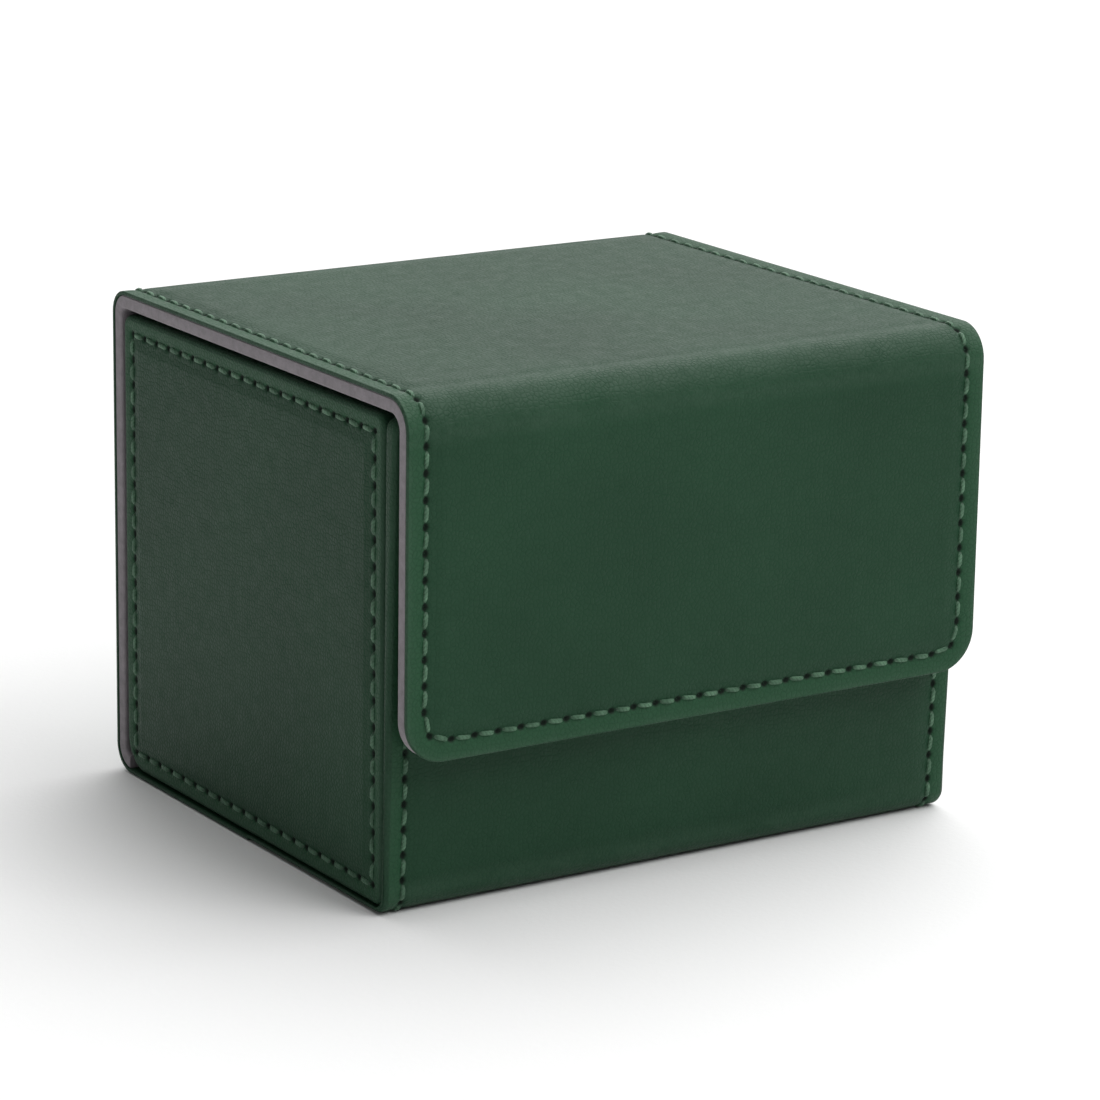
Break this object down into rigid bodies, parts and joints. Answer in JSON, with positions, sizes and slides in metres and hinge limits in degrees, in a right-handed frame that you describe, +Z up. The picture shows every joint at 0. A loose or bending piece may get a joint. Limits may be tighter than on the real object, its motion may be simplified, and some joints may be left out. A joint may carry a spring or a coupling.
{
  "type": "card deck box",
  "caption": "Stitched leather-covered deck box for trading cards, with a lid that swings up on the back and a magnetic front flap.",
  "frame": {"origin": "centre of the closed box's footprint, on the surface that it stands on", "axes": "+X to the right along the lid's folds, +Y from the flap to the back, +Z up"},
  "size_m": [0.104, 0.0916, 0.08],
  "materials": {
    "leather": "green pebbled synthetic leather, satin",
    "lining": "mauve-grey short-nap microfibre, matt",
    "board": "grey chipboard, matt",
    "magnet": "nickel-plated magnet disc",
    "thread": "green polyester sewing thread"
  },
  "bodies": {
    "box": {"body_skin": "leather", "body_lining": "lining", "front_board": "board", "bottom_board": "board", "back_board": "board", "front_magnet_left": "magnet", "front_magnet_right": "magnet", "body_stitch_left": "thread", "body_stitch_right": "thread", "left_side_skin": "leather", "left_side_lining": "lining", "left_side_board": "board", "left_side_stitch": "thread", "right_side_skin": "leather", "right_side_lining": "lining", "right_side_board": "board", "right_side_stitch": "thread", "rear_fold_skin": "leather", "rear_fold_lining": "lining"},
    "lid": {"lid_skin": "leather", "lid_lining": "lining", "lid_board": "board", "lid_stitch_left": "thread", "lid_stitch_right": "thread", "front_fold_skin": "leather", "front_fold_lining": "lining"},
    "flap": {"flap_skin": "leather", "flap_lining": "lining", "flap_board": "board", "flap_magnet_left": "magnet", "flap_magnet_right": "magnet", "flap_stitch": "thread"}
  },
  "joints": [
    {"name": "lid_hinge", "type": "hinge", "parent": "box", "child": "lid", "pos_m": [0, 0.0441, 0.0783], "axis": [-1, 0, 0], "range_deg": [0, 176], "deforming": ["rear_fold_skin", "rear_fold_lining"]},
    {"name": "flap_hinge", "type": "hinge", "parent": "lid", "child": "flap", "pos_m": [0, -0.04344, 0.07764], "axis": [-1, 0, 0], "range_deg": [0, 90], "deforming": ["front_fold_skin", "front_fold_lining"]}
  ]
}
